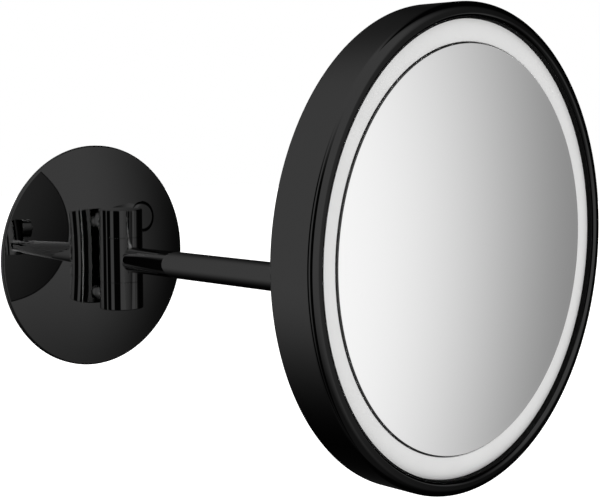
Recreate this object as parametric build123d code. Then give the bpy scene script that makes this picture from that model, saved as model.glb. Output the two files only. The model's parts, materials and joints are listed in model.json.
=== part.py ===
from build123d import *
import math
import os

# A lit magnifying mirror on a swinging wall arm. Lengths are in millimetres.
# Pieces are drawn in the wall's own frame: x to the right, y up and z out from the wall.
# The export turns them so that Z is up and the mirror looks along -Y.

# Rosette on the wall
rosette_diameter = 121.0
rosette_rim = 2.4
rosette_rise = 5.4
rosette_wall = 1.2
rosette_edge = 0.9
boss_wall = 4.4
seat_sink = 0.2

# Bracket behind the rosette
bracket_width = 28.0
bracket_length = 96.0
bracket_corner = 10.0
bracket_thickness = 1.5
wall_screw_spacing = 76.0
wall_screw_hole = 5.2
cable_hole = 16.0
cable_bore = 7.0
grommet_flange = 2.0
grommet_flange_height = 1.5
rivet_diameter = 5.0
post_engagement = 5.6
post_end_gap = 0.3
groove_depth = 0.6
groove_width = 3.2
grub_diameter = 3.0
grub_height = 3.3
grub_sink = 0.2
grub_socket = 1.5
grub_socket_depth = 1.4

# Knuckles and bolts, alike in all three joints
barrel_diameter = 23.4
outer_knuckle_height = 14.8
knuckle_margin = 0.2
knuckle_gap = 0.1
knuckle_edge = 0.5
seam_edge = 0.1
knuckle_land = 1.3
standoff_wall = 2.5
washer_thickness = 0.75
washer_clearance = 0.05
washer_inset = 1.6
shoulder_diameter = 8.0
thread_diameter = 6.0
thread_length = 8.6
bolt_head_diameter = 10.4
bolt_head_height = 3.0
bolt_socket = 4.0
bolt_socket_depth = 1.8
spring_height = 1.5
spring_thickness = 0.4
counterbore_gap = 0.4
plug_thickness = 1.5
plug_gap = 0.2
running_gap = 0.05
slip = 0.02

# Arm and joints
hinge_gap = 2.85
arm_diameter = 13.8
arm_wall = 1.5
arm_reach = 180.0
socket_stop = 6.5
socket_cover = 1.3
sweep_gap = 0.5
swivel_drop = 11.0
swivel_cap = 0.9
swivel_to_tilt = 15.5
back_gap = 2.6
lock_screw_diameter = 4.4
lock_screw_reach = 4.5
lock_screw_depth = 3.0
lock_slot_width = 0.8
lock_slot_depth = 0.9

# Push button and its switch
button_x = 28.9
button_y = 20.2
button_diameter = 16.6
button_gap = 0.5
button_proud = 0.8
button_edge = 1.9
button_flange = 1.3
button_flange_height = 0.6
button_flange_gap = 0.25
button_travel = 0.8
button_stem = 3.0
switch_size = 5.0
switch_height = 0.5
board_thickness = 0.8
board_wall_gap = 0.2
board_bracket_gap = 3.4
board_end = 2.5
board_corner = 2.0
board_screw = 2.0
board_screw_head = 3.8
board_screw_head_height = 0.9
board_screw_length = 2.6
board_boss = 4.4
board_boss_gap = 0.5

# Head: drum, bezel, light ring and mirror
head_diameter = 200.0
drum_depth = 18.25
drum_wall = 2.0
drum_round = 1.5
bezel_width = 6.4
bezel_foot = 0.3
shell_back = 2.0
shell_wall = 2.0
shell_height = 11.0
shell_edge = 0.3
seal_thickness = 1.2
seal_inset = 0.3
light_ring_width = 9.4
mirror_gap = 0.4
mirror_proud = 0.8
mirror_thickness = 3.0
mirror_curve = 800.0
mirror_bevel = 0.3
pad_thickness = 1.0
pad_inner = 112.0
pad_inset = 5.8
carrier_thickness = 2.0
carrier_inset = 1.3
carrier_foot = 1.9
carrier_boss_circle = 96.0
carrier_boss = 9.0
carrier_screw = 3.5
carrier_screw_head = 6.4
carrier_screw_head_height = 1.4
carrier_screw_floor = 1.0
carrier_screw_count = 4
diffuser_thickness = 3.0
diffuser_gap = 0.3
tray_floor = 1.5
tray_wall = 1.6
led_board_gap = 0.4
led_board_thickness = 1.6
led_count = 36
led_length = 3.5
led_width = 2.8
led_height = 1.2
driver_y = -42.0
driver_width = 48.0
driver_length = 30.0
driver_thickness = 1.2
driver_rise = 1.0
driver_boss = 5.0
driver_screw = 2.2
driver_screw_head = 4.2
driver_screw_head_height = 1.4
driver_screw_inset = 4.0
coil_diameter = 10.0
coil_height = 1.8
capacitor_diameter = 6.0
connector_width = 9.0
connector_length = 7.0
knuckle_screw = 5.0
knuckle_screw_head = 8.4
knuckle_screw_head_height = 2.6
knuckle_screw_reach = 7.0

# Values worked out from the sizes above
STAND = (Align.CENTER, Align.CENTER, Align.MIN)
barrel_radius = barrel_diameter / 2
bore_radius = shoulder_diameter / 2 + running_gap
counterbore_radius = bolt_head_diameter / 2 + counterbore_gap
bolt_stack = plug_thickness + plug_gap + bolt_head_height + spring_height
middle_half = barrel_radius + knuckle_margin
fixed_start = middle_half + knuckle_gap
hinge_half = fixed_start + outer_knuckle_height
washer_radius = barrel_radius - washer_inset
pocket_radius = washer_radius + running_gap
pocket_end = middle_half + washer_clearance + washer_thickness
standoff_offset = (pocket_end + hinge_half) / 2
standoff_radius = (hinge_half - pocket_end) / 2 - knuckle_land
post_radius = standoff_radius - standoff_wall

rosette_radius = rosette_diameter / 2
dome_radius = (rosette_radius**2 + rosette_rise**2) / (2 * rosette_rise)
dome_centre = rosette_rim + rosette_rise - dome_radius

hinge_out = rosette_rim + rosette_rise + hinge_gap + barrel_radius
swivel_out = hinge_out + arm_reach
tilt_out = swivel_out + swivel_to_tilt
tilt_foot = barrel_radius + back_gap
back_out = tilt_out + tilt_foot
arm_radius = arm_diameter / 2
arm_end_top = arm_radius + socket_cover
swivel_start = arm_end_top + knuckle_gap
swivel_pocket_end = arm_end_top + washer_thickness + washer_clearance
head_rise = arm_end_top + sweep_gap + barrel_radius

head_radius = head_diameter / 2
drum_inner = head_radius - drum_wall
bezel_inner = head_radius - bezel_width
bezel_crown = drum_depth + bezel_width / 2
shell_outer = drum_inner - slip
shell_inner = drum_inner - shell_wall
shoulder = shell_height + seal_thickness
mirror_diameter = 2 * (bezel_inner - light_ring_width - mirror_gap)
mirror_radius = mirror_diameter / 2
pad_outer = mirror_diameter - 2 * pad_inset
carrier_diameter = mirror_diameter - 2 * carrier_inset
carrier_front = mirror_thickness + pad_thickness
carrier_back = carrier_front + carrier_thickness
diffuser_face = drum_depth - bezel_foot
diffuser_back = diffuser_face - diffuser_thickness
diffuser_inner = mirror_radius + mirror_gap
diffuser_outer = shell_inner - diffuser_gap
tray_inner = diffuser_inner
tray_outer = diffuser_outer - diffuser_gap
led_board_inner = tray_inner + tray_wall + led_board_gap
led_board_outer = tray_outer - tray_wall - led_board_gap
led_circle = (led_board_inner + led_board_outer) / 2
led_board_bottom = shell_back + tray_floor
led_board_top = led_board_bottom + led_board_thickness
mirror_edge = diffuser_face + mirror_proud
mirror_centre = mirror_edge + math.sqrt(mirror_curve**2 - mirror_radius**2)

board_bottom = board_wall_gap + board_screw_head_height
board_top = board_bottom + board_thickness
board_screw_spacing = button_diameter + 2 * (button_flange + board_boss_gap) + board_boss
board_length = board_screw_spacing + 2 * board_end
board_room = math.sqrt((dome_radius - rosette_wall) ** 2 - (board_top + board_wall_gap - dome_centre) ** 2)
board_reach = math.sqrt(board_room**2 - (button_y + board_length / 2) ** 2)
board_width = 2 * min(button_x - bracket_width / 2 - board_bracket_gap, board_reach - button_x)

# Frames of the joints and of the head, each drawn with its own axis along z
WALL = Plane(origin=(0, 0, 0), x_dir=(1, 0, 0), z_dir=(0, -1, 0))
HINGE = Plane(origin=(0, 0, hinge_out), x_dir=(0, 0, -1), z_dir=(0, 1, 0))
SWIVEL = Plane(origin=(0, 0, swivel_out), x_dir=(0, 0, -1), z_dir=(0, 1, 0))
TILT = Plane(origin=(0, head_rise, tilt_out), x_dir=(0, 0, 1), z_dir=(1, 0, 0))
HEAD = Pos(0, head_rise, back_out)


def rod(radius, start, end):
    """A plain cylinder from one point to another."""
    start, end = Vector(start), Vector(end)
    return Plane(start, z_dir=end - start) * Cylinder(radius, (end - start).length, align=STAND)


def upright(radius, bottom, top, x=0.0, y=0.0):
    """A cylinder along z."""
    return rod(radius, (x, y, bottom), (x, y, top))


def ring(inner, outer, bottom, top):
    """A flat ring about z."""
    return upright(outer, bottom, top) - upright(inner, bottom, top)


def turned(*lines, rounds=()):
    """A solid turned about z from an outline of radius and height, with chosen corners rounded."""
    face = make_face([edge for line in lines for edge in line.edges()])
    for corner, radius in rounds:
        face = fillet(face.vertices().sort_by_distance(corner)[0], radius)
    return revolve(Plane.XZ * face, Axis.Z)


def turned_disc(radius, bottom, top, rounds):
    """A disc or short column turned about z, with chosen corners of its edge rounded."""
    outline = Polyline((0, bottom), (radius, bottom), (radius, top), (0, top), close=True)
    return turned(outline, rounds=rounds)


def plate(width, length, corner, bottom, thickness, x=0.0, y=0.0):
    """A flat plate with rounded corners."""
    return Pos(x, y, bottom) * extrude(RectangleRounded(width, length, corner), thickness)


def ball(radius, centre):
    """A sphere about a point on the rosette's axis."""
    return Pos(0, 0, centre) * Sphere(radius)


def dome_height(radius, inset=0.0):
    """Height of the rosette's dome, or of a surface inset from it, at a radius."""
    return dome_centre + math.sqrt((dome_radius - inset) ** 2 - radius**2)


def bowl_height(radius, behind=0.0):
    """Height of the mirror's hollow face, or of a surface behind it, at a radius."""
    return mirror_centre - math.sqrt((mirror_curve + behind) ** 2 - radius**2)


def bowl_arc(inner, outer, behind):
    """The arc of the mirror's face, or of a surface behind it, between two radii."""
    middle = (inner + outer) / 2
    points = [(r, bowl_height(r, behind)) for r in (inner, middle, outer)]
    return ThreePointArc(*points)


def dished(inner, outer, front, back):
    """A dished ring or disc between two surfaces parallel to the mirror's face."""
    return turned(
        bowl_arc(inner, outer, front),
        Line((outer, bowl_height(outer, front)), (outer, bowl_height(outer, back))),
        bowl_arc(inner, outer, back),
        Line((inner, bowl_height(inner, back)), (inner, bowl_height(inner, front))),
    )


def screw(thread, length, head, head_height):
    """A flat-headed screw that points along z, its head below z = 0."""
    return upright(head / 2, -head_height, 0) + upright(thread / 2 - slip, 0, length)


seat_out = dome_height(standoff_offset + standoff_radius) - seat_sink
post_end = seat_out + post_engagement
hinge_foot = hinge_out - seat_out


# Rosette, bracket and posts


def rosette():
    """The domed cover, with seats for the standoffs and bosses inside for posts and switch."""
    inside = rosette_radius - rosette_wall
    half = rosette_radius / 2
    rim_top = dome_height(rosette_radius)
    inside_top = dome_height(inside, rosette_wall)
    cover = turned(
        Line((inside, 0), (rosette_radius, 0)),
        Line((rosette_radius, 0), (rosette_radius, rim_top)),
        ThreePointArc((rosette_radius, rim_top), (half, dome_height(half)), (0, dome_height(0))),
        Line((0, dome_height(0)), (0, dome_height(0, rosette_wall))),
        ThreePointArc(
            (0, dome_height(0, rosette_wall)),
            (half, dome_height(half, rosette_wall)),
            (inside, inside_top),
        ),
        Line((inside, inside_top), (inside, 0)),
        rounds=[((rosette_radius, rim_top), rosette_edge)],
    )
    apex = dome_height(0)
    outside = ball(dome_radius - rosette_wall / 2, dome_centre)
    board_hole_end = board_bottom + board_screw_length + running_gap
    for side in (1, -1):
        y = side * standoff_offset
        cover += upright(post_radius + boss_wall, bracket_thickness, apex, 0, y) & outside
        cover += upright(board_boss / 2, board_top, apex, *board_hole(side)) & outside
    for side in (1, -1):
        y = side * standoff_offset
        cover -= upright(post_radius + 2 * running_gap, 0, hinge_out, 0, y)
        cover -= upright(standoff_radius + 2 * running_gap, seat_out, hinge_out, 0, y)
        cover -= upright(board_screw / 2, 0, board_hole_end, *board_hole(side))
    return cover - upright(button_diameter / 2 + button_gap, 0, hinge_out, button_x, button_y)


def board_hole(side):
    """Where one of the two switch board screws stands."""
    return button_x, button_y + side * board_screw_spacing / 2


def wall_bracket():
    """The flat bar that is screwed to the wall and carries the two posts."""
    bar = plate(bracket_width, bracket_length, bracket_corner, 0, bracket_thickness)
    bar -= upright(cable_hole / 2, 0, bracket_thickness)
    for side in (1, -1):
        bar -= upright(wall_screw_hole / 2, 0, bracket_thickness, 0, side * wall_screw_spacing / 2)
        bar -= upright(rivet_diameter / 2, 0, bracket_thickness, 0, side * standoff_offset)
    return bar


def cable_grommet():
    """The rubber bush that lines the bracket's cable hole."""
    flange = cable_hole / 2 + grommet_flange
    top = bracket_thickness + grommet_flange_height
    bush = upright(cable_hole / 2, 0, bracket_thickness)
    bush += turned_disc(flange, bracket_thickness, top, [((flange, top), grommet_flange_height / 2)])
    return bush - upright(cable_bore / 2, 0, top)


def post(side):
    """A post riveted into the bracket, with a groove for its grub screw."""
    y = side * standoff_offset
    middle = seat_out + grub_height
    body = upright(rivet_diameter / 2, 0, bracket_thickness)
    body += upright(post_radius, bracket_thickness, post_end)
    groove = ring(
        post_radius - groove_depth, 2 * post_radius, middle - groove_width / 2, middle + groove_width / 2
    )
    return Pos(0, y, 0) * (body - groove)


def grub_screws():
    """One hex grub screw from above and one from below, each seated in a post's groove."""
    tip = post_radius - groove_depth
    length = standoff_radius - grub_sink - tip
    screw_body = upright(grub_diameter / 2 - slip, 0, length)
    socket = extrude(RegularPolygon(grub_socket / 2, 6), grub_socket_depth)
    seat = (0, standoff_offset + tip, seat_out + grub_height)
    upper = Plane(origin=seat, x_dir=(1, 0, 0), z_dir=(0, 1, 0)) * (
        screw_body - Pos(0, 0, length - grub_socket_depth) * socket
    )
    return Part() + [upper, mirror(upper, Plane.XZ)]


# Knuckles, bolts, washers and springs


def barrel(bottom, top, low_edge=knuckle_edge, high_edge=knuckle_edge):
    """A knuckle's barrel, softly rounded at a free end and nearly sharp at a seam."""
    corners = [((barrel_radius, bottom), low_edge), ((barrel_radius, top), high_edge)]
    return turned_disc(barrel_radius, bottom, top, corners)


def threaded_knuckle(foot):
    """The fixed knuckle that the hinge bolt screws into, with its standoff and a pocket for a washer."""
    body = barrel(fixed_start, hinge_half, low_edge=seam_edge)
    body += rod(standoff_radius, (0, 0, standoff_offset), (foot, 0, standoff_offset))
    body -= upright(pocket_radius, fixed_start, pocket_end)
    return body - upright(thread_diameter / 2, pocket_end, pocket_end + thread_length + slip)


def headed_knuckle(foot):
    """The fixed knuckle that holds the bolt's head, springs and plug, with its standoff and a pocket."""
    body = barrel(-hinge_half, -fixed_start, high_edge=seam_edge)
    body += rod(standoff_radius, (0, 0, -standoff_offset), (foot, 0, -standoff_offset))
    body -= upright(pocket_radius, -pocket_end, -fixed_start)
    body -= upright(bore_radius, -hinge_half, -fixed_start)
    return body - upright(counterbore_radius, -hinge_half, bolt_stack - hinge_half)


def on_post(knuckle, side):
    """Cuts the hole for the bracket's post, and the thread of its grub screw, in a standoff."""
    z = side * standoff_offset
    x = hinge_foot - grub_height
    deep = hinge_foot - post_engagement - post_end_gap
    hole = rod(post_radius + running_gap, (deep, 0, z), (hinge_foot, 0, z))
    thread = rod(grub_diameter / 2, (x, 0, z), (x, 0, z + side * standoff_radius))
    return knuckle - hole - thread


def on_screw(knuckle, side):
    """Cuts the thread for the screw that holds a standoff to the back of the head."""
    z = side * standoff_offset
    return knuckle - rod(knuckle_screw / 2, (tilt_foot - knuckle_screw_reach, 0, z), (tilt_foot, 0, z))


def shoulder_bolt(grip):
    """A socket-head bolt along z: its springs bear on z = 0 and its shoulder ends at the grip."""
    head_bottom = -spring_height - bolt_head_height
    body = upright(bolt_head_diameter / 2, head_bottom, -spring_height)
    body += upright(shoulder_diameter / 2, -spring_height, grip)
    body += upright(thread_diameter / 2 - slip, grip, grip + thread_length)
    socket = extrude(RegularPolygon(bolt_socket / 2, 6), bolt_socket_depth)
    return body - Pos(0, 0, head_bottom) * socket


def disc_springs():
    """Two disc springs, rim to rim, that keep a joint's friction even."""
    inner = shoulder_diameter / 2 + running_gap
    outer = bolt_head_diameter / 2
    half = spring_height / 2
    disc = turned(
        Polyline(
            (inner, -spring_thickness),
            (inner, 0),
            (outer, spring_thickness - half),
            (outer, -half),
            close=True,
        )
    )
    lower = Pos(0, 0, -half) * disc
    return Part() + [lower, Pos(0, 0, -half) * mirror(disc, Plane.XY)]


def plug():
    """The thin cap that hides a bolt's head."""
    radius = counterbore_radius - slip
    return turned_disc(radius, 0, plug_thickness, [((radius, 0), knuckle_edge / 2)])


def friction_washer(bottom):
    """A nylon washer that runs between two knuckles, sunk in a pocket of one of them."""
    return ring(bore_radius, washer_radius, bottom, bottom + washer_thickness)


def hinge_washers():
    """The washers above and below a hinge's middle knuckle, seated on the fixed knuckles."""
    upper = friction_washer(middle_half + washer_clearance)
    return Part() + [upper, mirror(upper, Plane.XY)]


hinge_seat = bolt_stack - hinge_half
hinge_grip = pocket_end - hinge_seat
swivel_seat = bolt_stack - swivel_drop
swivel_grip = swivel_pocket_end - swivel_seat


# Arm and swivel


def arm_knuckle():
    """The hinge's middle knuckle, with a socket for the arm."""
    body = barrel(-middle_half, middle_half, seam_edge, seam_edge)
    body -= upright(bore_radius, -middle_half, middle_half)
    return body - rod(arm_radius, (-socket_stop, 0, 0), (-barrel_diameter, 0, 0))


def arm_tube():
    """The round arm, open from end to end for the lead to the light."""
    start, end = hinge_out + socket_stop, swivel_out - socket_stop
    return ring(arm_radius - arm_wall, arm_radius - slip, start, end)


def arm_end():
    """The knuckle at the arm's far end, which holds the swivel bolt's head."""
    body = barrel(-swivel_drop, arm_end_top, high_edge=seam_edge)
    body -= upright(bore_radius, -swivel_drop, arm_end_top)
    body -= upright(counterbore_radius, -swivel_drop, swivel_seat)
    return body - rod(arm_radius, (socket_stop, 0, 0), (barrel_diameter, 0, 0))


def swivel_block():
    """One casting: the swivel's upper knuckle crossed by the tilt hinge's middle knuckle."""
    column = SWIVEL * barrel(swivel_start, head_rise + barrel_radius - swivel_cap, low_edge=seam_edge)
    cross = TILT * barrel(-middle_half, middle_half, seam_edge, seam_edge)
    body = column + cross
    body -= SWIVEL * upright(pocket_radius, arm_end_top, swivel_pocket_end)
    thread_end = swivel_pocket_end + thread_length + slip
    body -= SWIVEL * upright(thread_diameter / 2, swivel_pocket_end, thread_end)
    return body - TILT * upright(bore_radius, -middle_half, middle_half)


def lock_screw():
    """The slotted screw in the tilt hinge's end, which locks the bolt's thread."""
    inside = hinge_half - lock_screw_depth
    outside = hinge_half + lock_screw_reach
    body = upright(lock_screw_diameter / 2, inside, outside)
    body = chamfer(body.edges().filter_by(GeomType.CIRCLE).sort_by(Axis.Z)[-1], lock_slot_width / 2)
    slot = Pos(0, 0, outside - lock_slot_depth) * Box(
        lock_screw_diameter, lock_slot_width, lock_slot_depth, align=STAND
    )
    return body - slot


def right_tilt_knuckle():
    """The threaded tilt knuckle, with the hole for the lock screw in its end."""
    body = on_screw(threaded_knuckle(tilt_foot), 1)
    return body - upright(lock_screw_diameter / 2, hinge_half - lock_screw_depth, hinge_half)


# Button and switch


def switch_button():
    """The push button: a cap that follows the dome, with a flange and a stem behind it."""
    place = (button_x, button_y)
    flange_top = rosette_wall + button_flange_gap
    stem_bottom = board_top + button_travel + running_gap
    stem_top = dome_height(math.hypot(*place))
    cap = upright(button_diameter / 2, 0, hinge_out, *place)
    cap &= ball(dome_radius + button_proud, dome_centre)
    cap = fillet(cap.edges().filter_by(GeomType.LINE, reverse=True).sort_by(Axis.Z)[-1], button_edge)
    flange = upright(button_diameter / 2 + button_flange, 0, hinge_out, *place)
    flange &= ball(dome_radius - flange_top, dome_centre)
    underside = ball(dome_radius - flange_top - button_flange_height, dome_centre)
    return cap + flange - underside + upright(button_stem / 2, stem_bottom, stem_top, *place)


def switch_board():
    """The small circuit board behind the button."""
    place = (button_x, button_y)
    board = plate(board_width, board_length, board_corner, board_bottom, board_thickness, *place)
    for side in (1, -1):
        board -= upright(board_screw / 2, board_bottom, board_top, *board_hole(side))
    return board


def switch_body():
    """The flat push switch on its board, with a well for the button's stem."""
    top = board_top + switch_height
    body = Pos(button_x, button_y, board_top) * Box(switch_size, switch_size, switch_height, align=STAND)
    body = fillet(body.edges().filter_by(Axis.Z), switch_size / 10)
    return body - upright(button_stem / 2 + button_gap, board_top, top, button_x, button_y)


def switch_screws():
    """Two screws that hold the switch board to the rosette's bosses."""
    one = screw(board_screw, board_screw_length, board_screw_head, board_screw_head_height)
    return Part() + [Pos(*board_hole(side), board_bottom) * one for side in (1, -1)]


# Head


def around(count, radius, phase=0.0):
    """Places evenly spaced on a circle, each turned to face outwards."""
    return [Rot(0, 0, phase + 360 * i / count) * Pos(radius, 0, 0) for i in range(count)]


def carrier_places():
    """Where the carrier's screws and bosses stand."""
    return around(carrier_screw_count, carrier_boss_circle / 2, 180 / carrier_screw_count)


def driver_corners():
    """Where the driver board's four screws stand."""
    x = driver_width / 2 - driver_screw_inset
    y = driver_length / 2 - driver_screw_inset
    return [Pos(i * x, driver_y + j * y, 0) for i in (1, -1) for j in (1, -1)]


def carrier_seat():
    """Height at which the carrier rests on the shell's bosses."""
    return bowl_height(carrier_boss_circle / 2, carrier_back) - carrier_foot


def back_shell():
    """The back of the drum: a shallow dish, inside the bezel's wall, that carries all the rest."""
    body = turned(
        Polyline(
            (0, 0),
            (shell_outer, 0),
            (shell_outer, shell_height),
            (shell_inner, shell_height),
            (shell_inner, shell_back),
            (0, shell_back),
            close=True,
        ),
        rounds=[((shell_outer, 0), shell_edge)],
    )
    seat = carrier_seat()
    for place in carrier_places():
        body += place * upright(carrier_boss / 2, shell_back, seat)
        body -= place * upright(carrier_screw / 2, shell_back, seat)
    for place in driver_corners():
        body += place * upright(driver_boss / 2, shell_back, shell_back + driver_rise)
        body -= place * upright(driver_screw / 2, shell_back / 2, shell_back + driver_rise)
    for side in (1, -1):
        body -= upright(knuckle_screw / 2 + running_gap, 0, shell_back, side * standoff_offset)
    return body


def knuckle_screws():
    """Two screws from inside the drum into the tilt knuckles' standoffs."""
    length = knuckle_screw_reach + shell_back - running_gap
    one = mirror(screw(knuckle_screw, length, knuckle_screw_head, knuckle_screw_head_height), Plane.XY)
    return Part() + [Pos(side * standoff_offset, 0, shell_back) * one for side in (1, -1)]


def head_seal():
    """The rubber ring between the shell's wall and the bezel's shoulder."""
    return ring(shell_inner + seal_inset, drum_inner - seal_inset, shell_height, shoulder)


def front_bezel():
    """The drum's side and its bead-shaped front in one turned ring, with a lip over the light ring."""
    crown = (head_radius - bezel_width / 2, bezel_crown)
    return turned(
        Polyline(
            (bezel_inner, drum_depth),
            (bezel_inner, diffuser_face),
            (shell_inner, diffuser_face),
            (shell_inner, shoulder),
            (drum_inner, shoulder),
            (drum_inner, 0),
            (head_radius, 0),
            (head_radius, drum_depth),
        ),
        ThreePointArc((head_radius, drum_depth), crown, (bezel_inner, drum_depth)),
        rounds=[((head_radius, 0), drum_round)],
    )


def diffuser_ring():
    """The frosted light ring between mirror and bezel."""
    return ring(diffuser_inner, diffuser_outer, diffuser_back, diffuser_face)


def light_tray():
    """The white channel under the light ring."""
    top = shell_back + tray_floor
    tray = ring(tray_inner, tray_outer, shell_back, top)
    tray += ring(tray_inner, tray_inner + tray_wall, top, diffuser_back)
    return tray + ring(tray_outer - tray_wall, tray_outer, top, diffuser_back)


def led_board():
    """The ring-shaped board on the tray's floor."""
    return ring(led_board_inner, led_board_outer, led_board_bottom, led_board_top)


def leds():
    """The light-emitting diodes, evenly spaced on their board."""
    one = Box(led_width, led_length, led_height, align=STAND)
    return Part() + [place * Pos(0, 0, led_board_top) * one for place in around(led_count, led_circle)]


def mirror_glass():
    """The hollow-faced magnifying mirror, bevelled round its front edge."""
    face = mirror_radius - mirror_bevel
    back = bowl_height(mirror_radius, mirror_thickness)
    return turned(
        bowl_arc(0, face, 0),
        Polyline((face, bowl_height(face)), (mirror_radius, mirror_edge - mirror_bevel), (mirror_radius, back)),
        bowl_arc(0, mirror_radius, mirror_thickness),
        Line((0, bowl_height(0, mirror_thickness)), (0, bowl_height(0))),
    )


def mirror_pad():
    """The foam ring that bonds the mirror to its carrier."""
    return dished(pad_inner / 2, pad_outer / 2, mirror_thickness, carrier_front)


def mirror_carrier():
    """The dished plate behind the mirror, on four bosses of the shell."""
    body = dished(0, carrier_diameter / 2, carrier_front, carrier_back)
    boss_top = bowl_height(carrier_boss_circle / 2, (carrier_front + carrier_back) / 2)
    seat = carrier_seat()
    for place in carrier_places():
        body += place * upright(carrier_boss / 2, seat, boss_top)
        body -= place * upright(carrier_screw / 2 + running_gap, seat, diffuser_face)
        body -= place * upright(carrier_screw_head / 2 + running_gap, carrier_screw_seat(), diffuser_face)
    return body


def carrier_screw_seat():
    """Height of the flat seat under a carrier screw's head."""
    low = carrier_boss_circle / 2 - carrier_screw_head / 2
    return bowl_height(low, carrier_front) - carrier_screw_head_height


def carrier_screws():
    """The screws that hold the mirror's carrier to the drum."""
    top = carrier_screw_seat()
    length = top - shell_back - carrier_screw_floor
    one = mirror(screw(carrier_screw, length, carrier_screw_head, carrier_screw_head_height), Plane.XY)
    return Part() + [place * Pos(0, 0, top) * one for place in carrier_places()]


def driver_board():
    """The current driver's circuit board, low in the drum."""
    bottom = shell_back + driver_rise
    board = plate(driver_width, driver_length, board_corner, bottom, driver_thickness, 0, driver_y)
    for place in driver_corners():
        board -= place * upright(driver_screw / 2 + running_gap, bottom, bottom + driver_thickness)
    return board


def driver_parts():
    """Coil, capacitor and plug on the driver board."""
    top = shell_back + driver_rise + driver_thickness
    coil = upright(coil_diameter / 2, top, top + coil_height, 0, driver_y)
    capacitor = upright(capacitor_diameter / 2, top, top + coil_height, coil_diameter, driver_y)
    connector = Pos(-coil_diameter - connector_width / 2, driver_y, top) * Box(
        connector_width, connector_length, coil_height, align=STAND
    )
    return Part() + [coil, capacitor, connector]


def driver_screws():
    """Four screws that hold the driver board."""
    length = driver_thickness + driver_rise
    one = mirror(screw(driver_screw, length, driver_screw_head, driver_screw_head_height), Plane.XY)
    top = shell_back + length
    return Part() + [place * Pos(0, 0, top) * one for place in driver_corners()]


pieces = {
    "wall_bracket": wall_bracket(),
    "upper_post": post(1),
    "lower_post": post(-1),
    "cable_grommet": cable_grommet(),
    "rosette": rosette(),
    "post_grub_screws": grub_screws(),
    "upper_knuckle": HINGE * on_post(threaded_knuckle(hinge_foot), 1),
    "lower_knuckle": HINGE * on_post(headed_knuckle(hinge_foot), -1),
    "hinge_bolt": HINGE * Pos(0, 0, hinge_seat) * shoulder_bolt(hinge_grip),
    "hinge_springs": HINGE * Pos(0, 0, hinge_seat) * disc_springs(),
    "hinge_washers": HINGE * hinge_washers(),
    "hinge_plug": HINGE * Pos(0, 0, -hinge_half) * plug(),
    "switch_board": switch_board(),
    "switch_body": switch_body(),
    "switch_screws": switch_screws(),
    "switch_button": switch_button(),
    "arm_knuckle": HINGE * arm_knuckle(),
    "arm_tube": arm_tube(),
    "arm_end": SWIVEL * arm_end(),
    "swivel_washer": SWIVEL * friction_washer(arm_end_top),
    "swivel_plug": SWIVEL * Pos(0, 0, -swivel_drop) * plug(),
    "swivel_block": swivel_block(),
    "swivel_bolt": SWIVEL * Pos(0, 0, swivel_seat) * shoulder_bolt(swivel_grip),
    "swivel_springs": SWIVEL * Pos(0, 0, swivel_seat) * disc_springs(),
    "left_tilt_knuckle": TILT * on_screw(headed_knuckle(tilt_foot), -1),
    "right_tilt_knuckle": TILT * right_tilt_knuckle(),
    "tilt_bolt": TILT * Pos(0, 0, hinge_seat) * shoulder_bolt(hinge_grip),
    "tilt_springs": TILT * Pos(0, 0, hinge_seat) * disc_springs(),
    "tilt_washers": TILT * hinge_washers(),
    "tilt_plug": TILT * Pos(0, 0, -hinge_half) * plug(),
    "tilt_lock_screw": TILT * lock_screw(),
    "knuckle_screws": HEAD * knuckle_screws(),
    "back_shell": HEAD * back_shell(),
    "head_seal": HEAD * head_seal(),
    "front_bezel": HEAD * front_bezel(),
    "diffuser_ring": HEAD * diffuser_ring(),
    "light_tray": HEAD * light_tray(),
    "led_board": HEAD * led_board(),
    "leds": HEAD * leds(),
    "mirror_carrier": HEAD * mirror_carrier(),
    "carrier_screws": HEAD * carrier_screws(),
    "mirror_pad": HEAD * mirror_pad(),
    "mirror_glass": HEAD * mirror_glass(),
    "driver_board": HEAD * driver_board(),
    "driver_parts": HEAD * driver_parts(),
    "driver_screws": HEAD * driver_screws(),
}

os.makedirs("parts", exist_ok=True)
for name, piece in pieces.items():
    export_step(WALL * piece, f"parts/{name}.step")
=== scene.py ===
import json
import math

import bmesh
import bpy
from bpy.props import FloatProperty, FloatVectorProperty, IntProperty, PointerProperty
from mathutils import Matrix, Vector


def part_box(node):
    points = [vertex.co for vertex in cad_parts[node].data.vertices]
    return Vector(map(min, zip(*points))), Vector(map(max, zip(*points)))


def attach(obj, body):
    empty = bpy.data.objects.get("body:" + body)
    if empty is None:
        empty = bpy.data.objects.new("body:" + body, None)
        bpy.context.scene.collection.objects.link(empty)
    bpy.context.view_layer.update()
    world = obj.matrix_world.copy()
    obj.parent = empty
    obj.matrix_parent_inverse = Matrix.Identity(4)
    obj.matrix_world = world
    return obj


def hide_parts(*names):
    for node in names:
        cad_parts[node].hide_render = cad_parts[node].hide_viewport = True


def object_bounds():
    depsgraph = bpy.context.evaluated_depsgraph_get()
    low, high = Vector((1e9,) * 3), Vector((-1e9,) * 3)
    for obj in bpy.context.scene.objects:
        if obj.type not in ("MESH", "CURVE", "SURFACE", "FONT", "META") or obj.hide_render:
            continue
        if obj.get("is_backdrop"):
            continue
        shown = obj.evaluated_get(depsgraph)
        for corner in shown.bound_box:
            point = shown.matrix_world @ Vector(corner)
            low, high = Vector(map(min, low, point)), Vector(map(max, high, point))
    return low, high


bl_info = {
    "name": "Lit swing-arm shaving mirror",
    "version": (1, 0, 0),
    "blender": (4, 5, 0),
    "location": "3D View > Sidebar > Mirror",
    "description": "Dresses a lit wall mirror on a swinging arm and sets it in a small studio",
    "category": "Object",
}

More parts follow.
